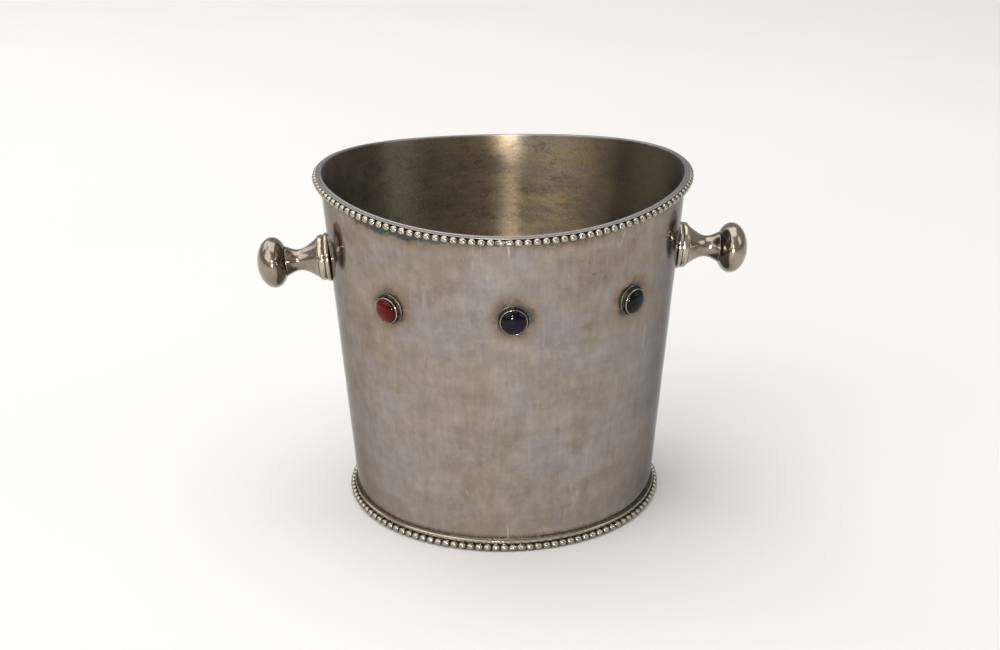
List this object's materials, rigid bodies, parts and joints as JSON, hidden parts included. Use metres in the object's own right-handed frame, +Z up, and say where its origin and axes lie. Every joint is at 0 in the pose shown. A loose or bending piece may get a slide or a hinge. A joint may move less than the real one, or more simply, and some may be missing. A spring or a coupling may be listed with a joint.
{
  "type": "champagne bucket",
  "caption": "Slightly oval tapered champagne bucket with a saddle-shaped beaded rim, a beaded foot, turned knob handles and cabochon stones in collets.",
  "frame": {"origin": "on the table under the centre of the bucket", "axes": "+Z up, +X along the two handles, -Y is the front with three stones"},
  "size_m": [0.2988, 0.2118, 0.2104],
  "materials": {
    "silver_satin": "satin silver plate with warm tarnish",
    "silver_trim": "soft polished silver plate, dark in the gaps",
    "silver_polished": "mirror polished silver plate",
    "silver_collet": "polished silver plate",
    "fixing_metal": "plain turned brass",
    "stone_red": "polished dark red cabochon",
    "stone_blue": "polished blue-black cabochon",
    "stone_green": "polished green-black cabochon"
  },
  "bodies": {
    "root": {"body_wall": "silver_satin", "base_pan": "silver_satin", "rim_moulding": "silver_trim", "rim_bead_wire": "silver_trim", "foot_ring": "silver_trim", "foot_bead_wire": "silver_trim", "left_handle_flange": "silver_polished", "left_handle_collar": "silver_polished", "left_handle_neck": "silver_polished", "left_handle_knob": "silver_polished", "left_handle_stud": "fixing_metal", "left_handle_washer": "fixing_metal", "left_handle_nut": "fixing_metal", "right_handle_flange": "silver_polished", "right_handle_collar": "silver_polished", "right_handle_neck": "silver_polished", "right_handle_knob": "silver_polished", "right_handle_stud": "fixing_metal", "right_handle_washer": "fixing_metal", "right_handle_nut": "fixing_metal", "front_left_collet": "silver_collet", "front_left_stone": "stone_red", "front_centre_collet": "silver_collet", "front_centre_stone": "stone_blue", "front_right_collet": "silver_collet", "front_right_stone": "stone_green", "back_left_collet": "silver_collet", "back_left_stone": "stone_green", "back_centre_collet": "silver_collet", "back_centre_stone": "stone_blue", "back_right_collet": "silver_collet", "back_right_stone": "stone_red"}
  },
  "joints": []
}
